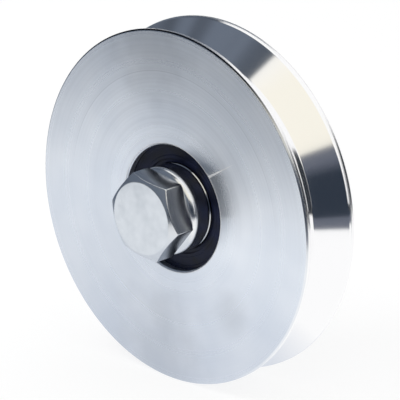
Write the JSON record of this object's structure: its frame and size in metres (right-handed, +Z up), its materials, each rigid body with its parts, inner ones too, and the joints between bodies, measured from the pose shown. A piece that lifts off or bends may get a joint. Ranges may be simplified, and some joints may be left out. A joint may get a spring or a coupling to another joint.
{
  "type": "sliding door roller",
  "caption": "Steel V-groove roller wheel on a sealed ball bearing, with spacer collars and a hex-head axle bolt and nut.",
  "frame": {"origin": "centre of the wheel, on its axle line and in the groove's middle plane", "axes": "+Y along the axle from the bolt's head to its free end, +Z up, the rail runs along X under the wheel"},
  "size_m": [0.1, 0.0675, 0.1],
  "materials": {
    "wheel_steel": "turned, bright zinc plated",
    "bearing_steel": "ground and polished",
    "cage_steel": "pressed sheet",
    "seal_rubber": "moulded, satin",
    "spring_steel": "stamped, oil blackened",
    "collar_steel": "turned, bright",
    "bolt_steel": "bright zinc plated",
    "zinc_steel": "bright zinc plated"
  },
  "bodies": {
    "axle": {"axle_bolt": "bolt_steel", "front_collar": "collar_steel", "rear_collar": "collar_steel", "bearing_inner_ring": "bearing_steel", "flat_washer": "zinc_steel", "spring_washer": "zinc_steel", "hex_nut": "zinc_steel"},
    "wheel": {"wheel": "wheel_steel", "bearing_outer_ring": "bearing_steel", "seal_front": "seal_rubber", "seal_rear": "seal_rubber", "circlip": "spring_steel"},
    "cage": {"cage_front_half": "cage_steel", "cage_rear_half": "cage_steel", "cage_rivets": "cage_steel"},
    "ball_1": {"ball_1": "bearing_steel"},
    "ball_2": {"ball_2": "bearing_steel"},
    "ball_3": {"ball_3": "bearing_steel"},
    "ball_4": {"ball_4": "bearing_steel"},
    "ball_5": {"ball_5": "bearing_steel"},
    "ball_6": {"ball_6": "bearing_steel"},
    "ball_7": {"ball_7": "bearing_steel"},
    "ball_8": {"ball_8": "bearing_steel"}
  },
  "joints": [
    {"name": "wheel_spin", "type": "hinge", "parent": "axle", "child": "wheel", "pos_m": [0, 0, 0], "axis": [0, 1, 0], "continuous": true},
    {"name": "cage_spin", "type": "hinge", "parent": "axle", "child": "cage", "pos_m": [0, -0.0012, 0], "axis": [0, 1, 0], "continuous": true},
    {"name": "ball_1_spin", "type": "hinge", "parent": "cage", "child": "ball_1", "pos_m": [0.01425, -0.0012, 0], "axis": [0, 1, 0], "continuous": true},
    {"name": "ball_2_spin", "type": "hinge", "parent": "cage", "child": "ball_2", "pos_m": [0.01008, -0.0012, 0.01008], "axis": [0, 1, 0], "continuous": true},
    {"name": "ball_3_spin", "type": "hinge", "parent": "cage", "child": "ball_3", "pos_m": [0, -0.0012, 0.01425], "axis": [0, 1, 0], "continuous": true},
    {"name": "ball_4_spin", "type": "hinge", "parent": "cage", "child": "ball_4", "pos_m": [-0.01008, -0.0012, 0.01008], "axis": [0, 1, 0], "continuous": true},
    {"name": "ball_5_spin", "type": "hinge", "parent": "cage", "child": "ball_5", "pos_m": [-0.01425, -0.0012, 0], "axis": [0, 1, 0], "continuous": true},
    {"name": "ball_6_spin", "type": "hinge", "parent": "cage", "child": "ball_6", "pos_m": [-0.01008, -0.0012, -0.01008], "axis": [0, 1, 0], "continuous": true},
    {"name": "ball_7_spin", "type": "hinge", "parent": "cage", "child": "ball_7", "pos_m": [0, -0.0012, -0.01425], "axis": [0, 1, 0], "continuous": true},
    {"name": "ball_8_spin", "type": "hinge", "parent": "cage", "child": "ball_8", "pos_m": [0.01008, -0.0012, -0.01008], "axis": [0, 1, 0], "continuous": true}
  ],
  "couplings": [
    {"joint": "cage_spin", "follows": "wheel_spin", "ratio": 0.6184},
    {"joint": "ball_1_spin", "follows": "wheel_spin", "ratio": 1.9935},
    {"joint": "ball_2_spin", "follows": "wheel_spin", "ratio": 1.9935},
    {"joint": "ball_3_spin", "follows": "wheel_spin", "ratio": 1.9935},
    {"joint": "ball_4_spin", "follows": "wheel_spin", "ratio": 1.9935},
    {"joint": "ball_5_spin", "follows": "wheel_spin", "ratio": 1.9935},
    {"joint": "ball_6_spin", "follows": "wheel_spin", "ratio": 1.9935},
    {"joint": "ball_7_spin", "follows": "wheel_spin", "ratio": 1.9935},
    {"joint": "ball_8_spin", "follows": "wheel_spin", "ratio": 1.9935}
  ]
}
